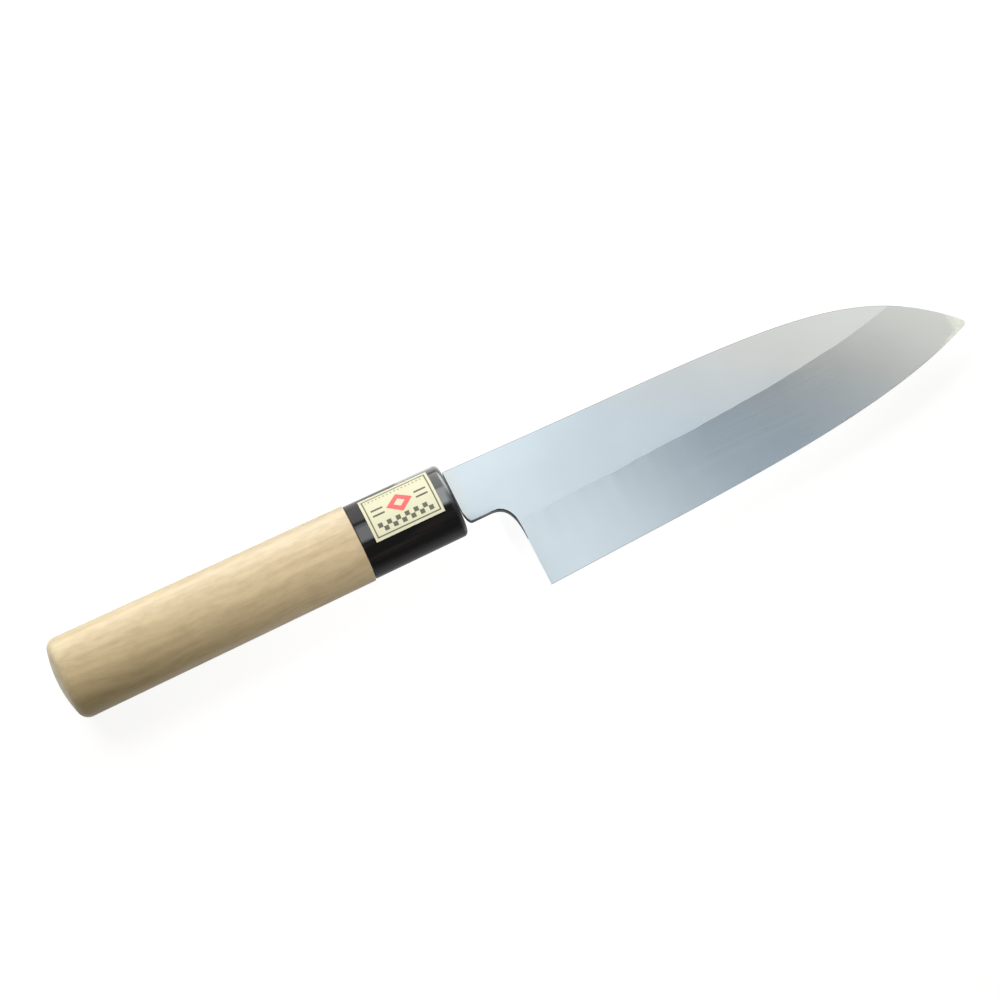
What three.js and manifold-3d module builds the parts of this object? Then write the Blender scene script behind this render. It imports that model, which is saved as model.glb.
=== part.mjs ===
// Santoku knife: a forged steel blade with a stick tang, an oval wooden handle, a horn ferrule and a paper label.
// Millimetres, +Z up. The knife lies on its left side: X runs from the butt to the tip, Y from the edge to the
// spine, and Z out of the blade's right side. It is drawn with X from the front of the ferrule and Y and Z from
// the handle's axis, and moved at the end so that the middle of its underside is the origin.

import * as THREE from 'three';
import { mergeVertices } from 'three/addons/utils/BufferGeometryUtils.js';
import loadManifold from 'manifold-3d';

const wasm = await loadManifold();
wasm.setup();

// Blade outline: lengths forward from the front of the ferrule, heights from the handle's axis
const bladeLength = 165;
const tipDrop = 18.1;
const spineRise = 8.6;
const heelSetback = 15;
const heelDepth = 36.6;

// How far each end of the spine's and the edge's curve pulls it along before it bends away
const spinePullAtNeck = { forward: 104.5, down: 2.4 };
const spinePullAtTip = { back: 28.3, up: 30.5 };
const edgePullAtHeel = { forward: 57.5, up: 3 };
const edgePullAtTip = { back: 36, down: 15.4 };

// Neck between ferrule and blade, and the hollow that leads down to the heel
const neckGap = 1.1;
const neckDepth = 8.9;
const neckCornerLength = 1.8;
const neckCornerRise = 3.3;
const choilWidth = 6.7;
const choilDrop = 12;
const choilPullAtNeck = 4.9;
const choilPullAtHeel = 8.7;

// Blade thickness, and the two bevels measured up from the cutting edge
const spineThickness = 3;
const tipThickness = 1;
const bevelHeight = 21.4;
const edgeBevelHeight = 0.3;
const edgeBevelThickness = 0.24;

// Tang inside the handle: it tapers from its root at the neck to its end
const tangRootHeight = 8;
const tangRootThickness = 2.6;
const tangEndHeight = 5;
const tangEndThickness = 2;
const woodBehindTang = 39;

// Resin plug round the tang, in the mouth of the spigot that carries the ferrule
const sealDepth = 4;
const sealWall = 0.9;
const spigotWall = 1.2;
const spigotSetback = 0.5;
const glueGap = 0.15;

// Ferrule and wooden handle, lengths back from the front of the ferrule
const ferruleLength = 30.7;
const ferruleRearHeight = 23.8;
const ferruleFrontHeight = 23.4;
const ferruleSideWall = 1.95;
const ferruleRound = 1.5;
const woodStep = 0.4;
const jointRound = 0.4;
const handleLength = 128;
const buttHeight = 26.1;
const buttThickness = 19.4;
const buttDome = 1.5;
const buttRound = 3.6;
const buttRoundTurn = 70;
const buttLean = 2.3;

// Oval section of handle and ferrule: a fullness of 2 is an ellipse, more is squarer
const ovalFullness = 2.2;

// Label on the ferrule's right side, its upper and lower edge as angles round the oval from the spine side
const labelMargin = 4.2;
const labelTopAngle = 37;
const labelBottomAngle = 110;
const labelThickness = 0.2;
const labelGap = 0.1;

// Facets
const ovalSides = 48;
const bladeStations = 36;
const labelSteps = 14;
const roundSteps = 5;
const curveSteps = 16;

// Places that follow from the sizes above
const sealRadius = Math.hypot(tangRootHeight, tangRootThickness) / 2 + glueGap + sealWall;
const spigotRadius = sealRadius + glueGap + spigotWall;
const boreRadius = spigotRadius + glueGap;
const jointX = -ferruleLength - glueGap;
const tangLength = handleLength - woodBehindTang;
const cutMargin = 5;

const lerp = THREE.MathUtils.lerp;

// Closed skin over rings of points that run along a path, each counterclockwise seen from the path's far end.
// The first and last ring are capped, or joined to each other when the path is a loop.
function skin(rings, looped = false) {
  const sides = rings[0].length;
  const points = rings.flat();
  const triangles = [];
  const band = (from, to) => {
    for (let j = 0; j < sides; j++) {
      const k = (j + 1) % sides;
      triangles.push([from + j, from + k, to + k], [from + j, to + k, to + j]);
    }
  };
  for (let i = 0; i + 1 < rings.length; i++) {
    band(i * sides, (i + 1) * sides);
  }
  const last = (rings.length - 1) * sides;
  if (looped) {
    band(last, 0);
  } else {
    for (let j = 1; j + 1 < sides; j++) {
      triangles.push([0, j + 1, j], [last, last + j, last + j + 1]);
    }
  }
  return welded(points, triangles);
}

// Geometry with coinciding points merged and the triangles that vanish with them left out
function welded(points, triangles) {
  const loose = new THREE.BufferGeometry().setFromPoints(points);
  loose.setIndex(triangles.flat());
  const geometry = mergeVertices(loose);
  const index = Array.from(geometry.index.array);
  const kept = [];
  for (let i = 0; i < index.length; i += 3) {
    const [a, b, c] = index.slice(i, i + 3);
    if (a !== b && b !== c && c !== a) {
      kept.push(a, b, c);
    }
  }
  geometry.setIndex(kept);
  return geometry;
}

function toSolid(geometry) {
  const bare = geometry.clone();
  bare.deleteAttribute('normal');
  bare.deleteAttribute('uv');
  const merged = mergeVertices(bare);
  const vertProperties = new Float32Array(merged.attributes.position.array);
  const triVerts = new Uint32Array(merged.index.array);
  return new wasm.Manifold(new wasm.Mesh({ numProp: 3, vertProperties, triVerts }));
}

function toGeometry(solid) {
  const { vertProperties, triVerts } = solid.getMesh();
  const geometry = new THREE.BufferGeometry();
  geometry.setAttribute('position', new THREE.BufferAttribute(vertProperties, 3));
  geometry.setIndex(new THREE.BufferAttribute(triVerts, 1));
  return geometry;
}

function piece(name, geometry, finish) {
  geometry.computeVertexNormals();
  const mesh = new THREE.Mesh(geometry, new THREE.MeshStandardMaterial(finish));
  mesh.name = name;
  return mesh;
}

// Oval section

function ovalPoint(x, halfHeight, halfThickness, angle, fullness = ovalFullness) {
  const bulge = (value) => Math.sign(value) * Math.abs(value) ** (2 / fullness);
  return new THREE.Vector3(x, halfHeight * bulge(Math.cos(angle)), halfThickness * bulge(Math.sin(angle)));
}

function oval(x, halfHeight, halfThickness, fullness = ovalFullness) {
  const angles = Array.from({ length: ovalSides }, (_, i) => (2 * Math.PI * i) / ovalSides);
  return angles.map((angle) => ovalPoint(x, halfHeight, halfThickness, angle, fullness));
}

function circle(x, radius) {
  return oval(x, radius, radius, 2);
}

// Round through a turn in degrees, as steps of how far along it has run and how far in it cuts
function roundOff(radius, turn = 90) {
  return Array.from({ length: roundSteps + 1 }, (_, i) => {
    const angle = THREE.MathUtils.degToRad((turn * i) / roundSteps);
    return { along: radius * Math.sin(angle), inset: radius * (1 - Math.cos(angle)) };
  });
}

// Blade

const tip = new THREE.Vector2(bladeLength, -tipDrop);
const spineCurve = new THREE.CubicBezierCurve(
  new THREE.Vector2(0, spineRise),
  new THREE.Vector2(spinePullAtNeck.forward, spineRise - spinePullAtNeck.down),
  new THREE.Vector2(bladeLength - spinePullAtTip.back, -tipDrop + spinePullAtTip.up),
  tip,
);
const edgeCurve = new THREE.CubicBezierCurve(
  new THREE.Vector2(heelSetback, -heelDepth),
  new THREE.Vector2(heelSetback + edgePullAtHeel.forward, -heelDepth + edgePullAtHeel.up),
  new THREE.Vector2(bladeLength - edgePullAtTip.back, -tipDrop - edgePullAtTip.down),
  tip,
);

// Middle of the range from low to high that is narrowed as long as tooLow says so
function bisect(low, high, tooLow) {
  for (let i = 0; i < 50; i++) {
    const middle = (low + high) / 2;
    [low, high] = tooLow(middle) ? [middle, high] : [low, middle];
  }
  return (low + high) / 2;
}

function heightAt(curve, x) {
  const t = bisect(0, 1, (value) => curve.getPoint(value).x < x);
  return curve.getPoint(t).y;
}

function bladeHeightAt(x) {
  return heightAt(spineCurve, x) - heightAt(edgeCurve, x);
}

// Half the blade's thickness at a height above the edge: edge bevel, main bevel, then the tapering flat
function halfThickness(x, up) {
  const flat = lerp(spineThickness, tipThickness, x / bladeLength) / 2;
  const shoulder = edgeBevelThickness / 2;
  if (up <= edgeBevelHeight) {
    return (shoulder * up) / edgeBevelHeight;
  }
  const share = (up - edgeBevelHeight) / (bevelHeight - edgeBevelHeight);
  return lerp(shoulder, flat, Math.min(share, 1));
}

function bladeSection(x) {
  const edge = heightAt(edgeCurve, x);
  const height = x < bladeLength ? bladeHeightAt(x) : 0;
  const levels = [edgeBevelHeight, bevelHeight, Infinity].map((up) => Math.min(up, height));
  const at = (up, side) => new THREE.Vector3(x, edge + up, side * halfThickness(x, up));
  const left = levels.map((up) => at(up, -1));
  const right = levels.map((up) => at(up, 1));
  return [at(0, 1), ...left, ...right.reverse()];
}

// Forged blank: its heel still runs back to the neck. Stations crowd towards the tip, and one of them lies
// where the line between flat and bevel runs out on the spine.
function bladeBlank() {
  const even = Array.from({ length: bladeStations + 1 }, (_, i) => Math.sin((i / bladeStations) * (Math.PI / 2)));
  const bevelEnd = bisect(heelSetback, bladeLength, (x) => bladeHeightAt(x) > bevelHeight);
  const stations = even.map((share) => lerp(neckGap, bladeLength, share));
  stations.push(bevelEnd, heelSetback);
  stations.sort((a, b) => a - b);
  return skin(stations.map(bladeSection));
}

// What is cut away below the neck and behind the heel
function heelNotch() {
  const neckEnd = heelSetback - choilWidth;
  const choilEnd = -neckDepth - choilDrop;
  const behind = neckGap - cutMargin;
  const below = -heelDepth - cutMargin;
  const notch = new THREE.Shape();
  notch.moveTo(behind, below);
  notch.lineTo(heelSetback, below);
  notch.lineTo(heelSetback, choilEnd);
  notch.bezierCurveTo(
    heelSetback, choilEnd + choilPullAtHeel,
    neckEnd + choilPullAtNeck, -neckDepth,
    neckEnd, -neckDepth,
  );
  notch.lineTo(neckGap + neckCornerLength, -neckDepth);
  notch.quadraticCurveTo(neckGap, -neckDepth, neckGap, -neckDepth + neckCornerRise);
  notch.lineTo(behind, -neckDepth + neckCornerRise);
  const depth = spineThickness + 2 * cutMargin;
  const geometry = new THREE.ExtrudeGeometry(notch, { depth, bevelEnabled: false, curveSegments: curveSteps });
  return geometry.translate(0, 0, -depth / 2);
}

// The tang, or with a gap the hole for it: a tapered bar from behind to ahead along the axis
function tangBar(gap, behind, ahead) {
  const ring = (x) => {
    const share = -x / tangLength;
    const y = lerp(tangRootHeight, tangEndHeight, share) / 2 + gap;
    const z = lerp(tangRootThickness, tangEndThickness, share) / 2 + gap;
    return [[-y, -z], [y, -z], [y, z], [-y, z]].map((corner) => new THREE.Vector3(x, ...corner));
  };
  return skin([ring(behind), ring(ahead)]);
}

function bladeGeometry() {
  const shaped = toSolid(bladeBlank()).subtract(toSolid(heelNotch()));
  return toGeometry(shaped.add(toSolid(tangBar(0, -tangLength, neckGap + neckCornerLength))));
}

// Ferrule

function ferruleHalf(x) {
  const height = lerp(ferruleFrontHeight, ferruleRearHeight, -x / ferruleLength) / 2;
  const thickness = boreRadius + ferruleSideWall + height - ferruleFrontHeight / 2;
  return { height, thickness };
}

function ferruleGeometry() {
  const outside = (x, inset) => {
    const half = ferruleHalf(x);
    return oval(x, half.height - inset, half.thickness - inset);
  };
  const front = roundOff(ferruleRound).map(({ along, inset }) => outside(along - ferruleRound, inset));
  const bore = [circle(0, boreRadius), circle(-ferruleLength, boreRadius)];
  return skin([outside(-ferruleLength, 0), ...front, ...bore], true);
}

// Handle: domed butt that leans back a little on the spine side, tapering grip, and the spigot with the tang's
// hole and the plug's seat

function handleGeometry() {
  const atJoint = ferruleHalf(-ferruleLength);
  const jointHalf = { height: atJoint.height + woodStep, thickness: atJoint.thickness + woodStep };
  const buttHalf = { height: buttHeight / 2, thickness: buttThickness / 2 };
  const grip = (x, inset, scale = 1) => {
    const share = (x + handleLength) / (jointX + handleLength);
    const height = lerp(buttHalf.height, jointHalf.height, share) - inset;
    const thickness = lerp(buttHalf.thickness, jointHalf.thickness, share) - inset;
    return oval(x, height * scale, thickness * scale);
  };
  const rimX = -handleLength + buttDome;
  const rim = roundOff(buttRound, buttRoundTurn).reverse();
  const { along: rimReach, inset: rimInset } = rim[0];
  const dome = [0, 0.35, 0.7].map((scale) => grip(lerp(-handleLength, rimX, scale ** 2), rimInset, scale));
  const round = rim.map(({ along, inset }) => grip(rimX + rimReach - along, inset));
  const butt = [...dome, ...round];
  const lean = Math.tan(THREE.MathUtils.degToRad(buttLean));
  butt.flat().forEach((point) => { point.x -= lean * point.y; });
  const shoulder = roundOff(jointRound).map(({ along, inset }) => grip(jointX - jointRound + along, inset));
  const spigot = [circle(jointX, spigotRadius), circle(-spigotSetback, spigotRadius)];
  const body = toSolid(skin([...butt, ...shoulder, ...spigot]));
  const seat = [-spigotSetback - sealDepth - glueGap, cutMargin].map((x) => circle(x, sealRadius + glueGap));
  const tangHole = tangBar(glueGap, -tangLength - glueGap, cutMargin);
  return toGeometry(body.subtract(toSolid(skin(seat))).subtract(toSolid(tangHole)));
}

function sealGeometry() {
  const ends = [-spigotSetback - sealDepth, -spigotSetback].map((x) => circle(x, sealRadius));
  const tangHole = tangBar(glueGap, -spigotSetback - sealDepth - cutMargin, cutMargin);
  return toGeometry(toSolid(skin(ends)).subtract(toSolid(tangHole)));
}

// Label: a thin sheet bent round the ferrule

function labelGeometry() {
  const ends = [-ferruleLength + labelMargin, -labelMargin];
  const corner = (x, lift, angle) => {
    const half = ferruleHalf(x);
    return ovalPoint(x, half.height + lift, half.thickness + lift, angle);
  };
  const outer = labelGap + labelThickness;
  const strips = Array.from({ length: labelSteps + 1 }, (_, i) => {
    const angle = THREE.MathUtils.degToRad(lerp(labelTopAngle, labelBottomAngle, i / labelSteps));
    return [
      corner(ends[0], labelGap, angle),
      corner(ends[1], labelGap, angle),
      corner(ends[1], outer, angle),
      corner(ends[0], outer, angle),
    ];
  });
  return skin(strips);
}

const knife = new THREE.Group();
knife.add(
  piece('blade', bladeGeometry(), { color: 0xc4cad1, roughness: 0.3, metalness: 1 }),
  piece('handle', handleGeometry(), { color: 0xdcc7a0, roughness: 0.65, metalness: 0 }),
  piece('ferrule', ferruleGeometry(), { color: 0x141416, roughness: 0.15, metalness: 0 }),
  piece('tang_seal', sealGeometry(), { color: 0x4a3524, roughness: 0.5, metalness: 0 }),
  piece('label', labelGeometry(), { color: 0xe9e3b4, roughness: 0.6, metalness: 0 }),
);

// Origin at the middle of the underside
const bounds = new THREE.Box3().setFromObject(knife);
const middle = bounds.getCenter(new THREE.Vector3());
knife.position.set(-middle.x, -middle.y, -bounds.min.z);

export default knife;
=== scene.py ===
# Looks of a santoku knife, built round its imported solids.
# The frame is the solids' own, in metres: X from the butt to the tip, Y from the edge to the spine, Z up.
# Pieces are drawn in millimetres from the front of the ferrule, on the handle's axis, and then placed.

import bisect
import math

import bmesh
import bpy
from mathutils import Matrix, Vector
from mathutils.geometry import interpolate_bezier


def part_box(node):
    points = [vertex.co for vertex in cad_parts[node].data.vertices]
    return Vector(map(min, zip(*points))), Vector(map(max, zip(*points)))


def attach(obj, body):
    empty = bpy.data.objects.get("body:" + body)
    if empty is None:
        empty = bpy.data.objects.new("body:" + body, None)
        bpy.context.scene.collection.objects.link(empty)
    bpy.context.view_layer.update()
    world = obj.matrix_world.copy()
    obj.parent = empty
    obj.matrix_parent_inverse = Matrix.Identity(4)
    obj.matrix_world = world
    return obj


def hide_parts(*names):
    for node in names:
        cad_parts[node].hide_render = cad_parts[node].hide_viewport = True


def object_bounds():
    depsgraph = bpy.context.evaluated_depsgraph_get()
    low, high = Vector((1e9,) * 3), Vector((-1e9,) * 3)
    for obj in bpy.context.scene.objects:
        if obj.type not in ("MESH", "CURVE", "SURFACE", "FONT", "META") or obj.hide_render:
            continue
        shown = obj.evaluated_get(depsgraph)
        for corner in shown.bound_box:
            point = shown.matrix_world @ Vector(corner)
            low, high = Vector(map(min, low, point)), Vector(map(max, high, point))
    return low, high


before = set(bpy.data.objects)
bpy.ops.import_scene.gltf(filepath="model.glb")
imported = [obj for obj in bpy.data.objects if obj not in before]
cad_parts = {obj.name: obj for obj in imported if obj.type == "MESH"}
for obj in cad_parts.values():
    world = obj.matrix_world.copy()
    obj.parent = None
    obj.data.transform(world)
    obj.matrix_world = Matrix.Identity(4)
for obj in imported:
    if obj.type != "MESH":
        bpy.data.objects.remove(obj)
cad_low, cad_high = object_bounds()

MM = 0.001
BODY = "root"

# Names of the pieces that lamps are linked to
BLADE = "santoku_blade"
GRIP = "wood_grip"
RING = "ferrule_ring"

# Places of the blade's materials in its list of slots
FLAT_SLOT = 0
BEVEL_SLOT = 1
DARK_SLOT = 2

# Where the drawing's zero lies in the frame
FERRULE_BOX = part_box("ferrule")
ZERO = (FERRULE_BOX[0] + FERRULE_BOX[1]) / 2
ZERO.x = FERRULE_BOX[1].x


def place(x, y, z):
    """Point of the frame, in metres, for a point of the drawing, in millimetres."""
    return ZERO + Vector((x, y, z)) * MM


def span(node):
    """Lowest and highest corner of a solid, in the drawing's millimetres."""
    low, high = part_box(node)
    return (low - ZERO) / MM, (high - ZERO) / MM


# Sizes read from the solids, in millimetres
blade_low, blade_high = span("blade")
handle_low, handle_high = span("handle")
ferrule_low, ferrule_high = span("ferrule")
seal_low, seal_high = span("tang_seal")
label_low, label_high = span("label")

BLADE_LENGTH = blade_high.x
SPINE_RISE = blade_high.y
HEEL_DEPTH = -blade_low.y
SPINE_THICKNESS = blade_high.z - blade_low.z
TANG_LENGTH = -blade_low.x
BUTT_X = handle_low.x
BUTT_HEIGHT = handle_high.y - handle_low.y
BUTT_THICKNESS = handle_high.z - handle_low.z
SPIGOT_X = handle_high.x
FERRULE_REAR_X = ferrule_low.x
FERRULE_REAR_HEIGHT = ferrule_high.y - ferrule_low.y
FERRULE_REAR_THICKNESS = ferrule_high.z - ferrule_low.z
SEAL_RADIUS = seal_high.y

# Blade outline. A pull says how far an end of a curve draws it along before it bends away.
TIP_DROP = 18.1
HEEL_SETBACK = 15
SPINE_PULL_AT_NECK = Vector((104.5, -2.4))
SPINE_PULL_AT_TIP = Vector((-28.3, 30.5))
EDGE_PULL_AT_HEEL = Vector((57.5, 3))
EDGE_PULL_AT_TIP = Vector((-36, -15.4))
NECK_GAP = 0.8
NECK_DEPTH = 8.9
NECK_CORNER = Vector((1.8, 3.3))
NECK_PULL_AT_REAR = Vector((0.36, -2.475))
NECK_PULL_AT_CORNER = Vector((-0.9, 0))
CHOIL_WIDTH = 6.7
CHOIL_DROP = 12
CHOIL_PULL_AT_NECK = Vector((4.9, 0))
CHOIL_PULL_AT_HEEL = Vector((0, 8.7))

# Blade section: grind line, edge bevel and rounded corners
TIP_THICKNESS = 1
BEVEL_HEIGHT = 21.4
EDGE_BEVEL_HEIGHT = 0.16
EDGE_BEVEL_THICKNESS = 0.13
SPINE_ROUND = 0.12
NECK_ROUND = 0.15
CHOIL_ROUND = 0.28
NECK_TO_CHOIL = (7, 10)
LEAST_LEVEL = 0.2
TIP_FROM = 150
TIP_BLUNT = 0.8
TIP_ROUND = 0.9
LINE_DROPS_FROM = 145
LINE_SHARE_AT_TIP = 0.75
LINE_SOFT_AT_HEEL = 0.9
LINE_SOFT_AT_TIP = 0.12
LINE_WAVE_AT_HEEL = 0.22
LINE_WAVE_AT_TIP = 0.07
LINE_CRISP_FROM = 85
SPLIT_SHARE = 0.74
TANG_ROOT = Vector((8, 2.6))
TANG_END = Vector((5, 2))

# Waves of the grind line: share, length over two pi, and phase
LINE_WAVES = ((1, 4.3, 0), (0.6, 2.1, 1), (0.5, 0.95, 0))

# Lengths between which the painted shade of the underside climbs over the whole round
DARK_CLIMB = (7, 11)

# Limits near the tip: the spine's rounds as shares of half the thickness and of the height, the least flat,
# the softened line as shares of the faces beside it, and the edge bevel as a share of the low columns
ROUND_OF_HALF = 0.4
ROUND_OF_HEIGHT = 0.2
LEAST_FLAT = 0.04
SOFT_OF_BEVEL = 0.2
SOFT_OF_FLAT = 0.45
EDGE_OF_LOW = 0.9

# Ferrule, handle, plug and label
OVAL_FULLNESS = 2.2
FERRULE_TAPER = 0.4
FERRULE_FRONT_ROUND = 1.5
FERRULE_REAR_ROUND = 0.25
GLUE_GAP = 0.15
SPIGOT_WALL = 1.2
WOOD_STEP = 0.4
JOINT_ROUND = 0.4
BUTT_DOME = 1.5
BUTT_ROUND = 3.6
BUTT_ROUND_TURN = math.radians(70)
BUTT_LEAN = math.radians(2.3)
SIDE_SETBACK = 1
SEAL_DISH = 0.3
SEAL_DISH_SHARE = 0.8
LABEL_ANGLES = (math.radians(37), math.radians(110))
LABEL_LIFT = 0.03
LABEL_THICKNESS = 0.17

# Counts of points and faces
OVAL_SIDES = 128
ROUND_STEPS = 8
OUTLINE_POINTS = 600
NECK_POINTS = 14
CHOIL_POINTS = 30
BLADE_STEPS = 110
TIP_STEPS = 45
LOW_COLUMNS = 8
BEVEL_COLUMNS = 4
FLAT_COLUMNS = 6
FERRULE_STEPS = 12
GRIP_STEPS = 24
BUTT_STEPS = 10
LABEL_STEPS_ROUND = 40
LABEL_STEPS_ALONG = 20

# Place of the innermost ring on the butt, as a share of a step
BUTT_CENTRE = 0.4

# Angles from which edges between faces are sharp, in degrees
SHARP_ANGLE = 32
BLADE_SHARP_ANGLE = 14

# Distance from a rounded corner to the ring that keeps the side before it straight
SUPPORT = 0.15


def lerp(a, b, share):
    return a + (b - a) * share


def smooth(x, start, end):
    """0 before start, 1 after end, and an even S between them."""
    share = min(max((x - start) / (end - start), 0), 1)
    return share * share * (3 - 2 * share)


# Mesh helpers


def steps(start, end, count):
    """Even steps from start to end, with both ends."""
    return [lerp(start, end, i / count) for i in range(count + 1)]


def skin(name, rings, looped=False, paint=None, sharp_angle=SHARP_ANGLE, hard_slot=None):
    """Closed mesh over rings of drawing points, with its ends capped or, in a loop, joined to each other.

    paint, if given, names the material slot of a face from its ring and its place in that ring.
    The border of the hard slot's faces is kept sharp whatever its angle."""
    mesh = bmesh.new()
    sides = len(rings[0])
    loops = [[mesh.verts.new(place(*point)) for point in ring] for ring in rings]
    pairs = list(zip(loops, loops[1:]))
    if looped:
        pairs.append((loops[-1], loops[0]))
    for i, (near, far) in enumerate(pairs):
        for j in range(sides):
            k = (j + 1) % sides
            face = mesh.faces.new((near[j], near[k], far[k], far[j]))
            if paint:
                face.material_index = paint(i, j)
    if not looped:
        mesh.faces.new(loops[0])
        mesh.faces.new(loops[-1])
    bmesh.ops.remove_doubles(mesh, verts=mesh.verts, dist=MM / 1000)
    bmesh.ops.dissolve_degenerate(mesh, edges=mesh.edges, dist=MM / 1000)
    bmesh.ops.recalc_face_normals(mesh, faces=mesh.faces)
    return to_object(name, mesh, sharp_angle, hard_slot)


def to_object(name, mesh, sharp_angle=SHARP_ANGLE, hard_slot=None):
    """Object of a mesh with smooth shading between sharp edges."""
    mesh.edges.index_update()
    borders = []
    for rim in mesh.edges:
        slots = {face.material_index for face in rim.link_faces}
        if hard_slot in slots and len(slots) > 1:
            borders.append(rim.index)
    data = bpy.data.meshes.new(name)
    mesh.to_mesh(data)
    mesh.free()
    data.shade_smooth()
    data.set_sharp_from_angle(angle=math.radians(sharp_angle))
    for index in borders:
        data.edges[index].use_edge_sharp = True
    made = bpy.data.objects.new(name, data)
    bpy.context.scene.collection.objects.link(made)
    return made


def dress(piece, node, slot, *materials):
    """Gives a piece its materials and makes it stand for its solid."""
    for material in materials:
        piece.data.materials.append(material)
    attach(piece, BODY)
    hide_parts(node)


def bulge(value, fullness):
    return math.copysign(abs(value) ** (2 / fullness), value)


def oval_point(x, half_height, half_thickness, angle, fullness=OVAL_FULLNESS):
    y = half_height * bulge(math.cos(angle), fullness)
    z = half_thickness * bulge(math.sin(angle), fullness)
    return Vector((x, y, z))


def oval_angles():
    return [2 * math.pi * i / OVAL_SIDES for i in range(OVAL_SIDES)]


def oval(x, half_height, half_thickness, fullness=OVAL_FULLNESS):
    return [oval_point(x, half_height, half_thickness, angle, fullness) for angle in oval_angles()]


def circle(x, radius):
    return oval(x, radius, radius, 2)


def slot_ring(x, half_height, half_thickness):
    """Rectangle with as many points as an oval, at even angles round its middle."""
    ring = []
    for angle in oval_angles():
        y, z = math.cos(angle), math.sin(angle)
        reach = max(abs(y) / half_height, abs(z) / half_thickness)
        ring.append(Vector((x, y / reach, z / reach)))
    return ring


def round_steps(radius, turn=math.pi / 2):
    """Steps of a round through an angle: how far along it has run and how far in it cuts."""
    angles = steps(0, turn, ROUND_STEPS)
    return [(radius * math.sin(angle), radius * (1 - math.cos(angle))) for angle in angles]


# Blade


def curve(start, pull_at_start, pull_at_end, end, count):
    """Points of a cubic curve between two points, each with the pull that bends it."""
    return interpolate_bezier(start, start + pull_at_start, end + pull_at_end, end, count)


class Outline:
    """Cubic curve along the blade that gives a height at a length."""

    def __init__(self, start, pull_at_start, pull_at_end, end):
        points = curve(start, pull_at_start, pull_at_end, end, OUTLINE_POINTS)
        self.lengths = [point.x for point in points]
        self.heights = [point.y for point in points]

    def height(self, x):
        after = min(max(bisect.bisect(self.lengths, x), 1), len(self.lengths) - 1)
        share = (x - self.lengths[after - 1]) / (self.lengths[after] - self.lengths[after - 1])
        return lerp(self.heights[after - 1], self.heights[after], min(max(share, 0), 1))


tip = Vector((BLADE_LENGTH + TIP_BLUNT, -TIP_DROP))
spine = Outline(Vector((0, SPINE_RISE)), SPINE_PULL_AT_NECK, SPINE_PULL_AT_TIP, tip)
edge = Outline(Vector((HEEL_SETBACK, -HEEL_DEPTH)), EDGE_PULL_AT_HEEL, EDGE_PULL_AT_TIP, tip)


def blade_heights(x):
    """Heights of the edge and of the spine, drawn together over the blunt end of the tip."""
    low, high = edge.height(x), spine.height(x)
    past = max(x - BLADE_LENGTH + TIP_ROUND, 0) / TIP_ROUND
    share = (1 - math.sqrt(max(1 - past ** 2, 0))) / 2
    return lerp(low, high, share), lerp(high, low, share)


def bevel_top(x):
    """Height of the grind line over the edge: a little wavy by the heel, straighter from the middle on."""
    wave = sum(share * math.sin(x / length + phase) for share, length, phase in LINE_WAVES)
    size = lerp(LINE_WAVE_AT_HEEL, LINE_WAVE_AT_TIP, smooth(x, HEEL_SETBACK, LINE_CRISP_FROM))
    return BEVEL_HEIGHT + size * wave


def half_thickness(x, up):
    """Half the blade's thickness at a height over the edge."""
    flat = lerp(SPINE_THICKNESS, TIP_THICKNESS, x / BLADE_LENGTH) / 2
    shoulder = EDGE_BEVEL_THICKNESS / 2
    share = max(up - EDGE_BEVEL_HEIGHT, 0) / (bevel_top(x) - EDGE_BEVEL_HEIGHT)
    return lerp(shoulder, flat, min(share, 1)) * min(up / EDGE_BEVEL_HEIGHT, 1)


def under_round(x):
    """Radius of the lower corners: crisp on the neck, rounder in the hollow behind the heel."""
    return lerp(NECK_ROUND, CHOIL_ROUND, smooth(x, *NECK_TO_CHOIL))


def under_points(low, rise, x, edge_height):
    """Right half of the rounded underside of the neck and of the hollow behind the heel.

    rise is the height of the round, more than its radius where the outline is steep."""
    half = half_thickness(x, low + rise - edge_height)
    points = [(low, 0.0)]
    for angle in steps(0, math.pi / 2, LOW_COLUMNS - 1):
        points.append((low + rise * (1 - math.cos(angle)), half - under_round(x) * (1 - math.sin(angle))))
    return points


def edge_points(x, edge_height, top):
    """Right half of the cutting edge and of the bevel above it, up to where the upper columns begin."""
    shoulder = min(EDGE_BEVEL_HEIGHT, EDGE_OF_LOW * top)
    ups = steps(shoulder, top, LOW_COLUMNS - 1)
    return [(edge_height, 0.0)] + [(edge_height + up, half_thickness(x, up)) for up in ups]


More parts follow.
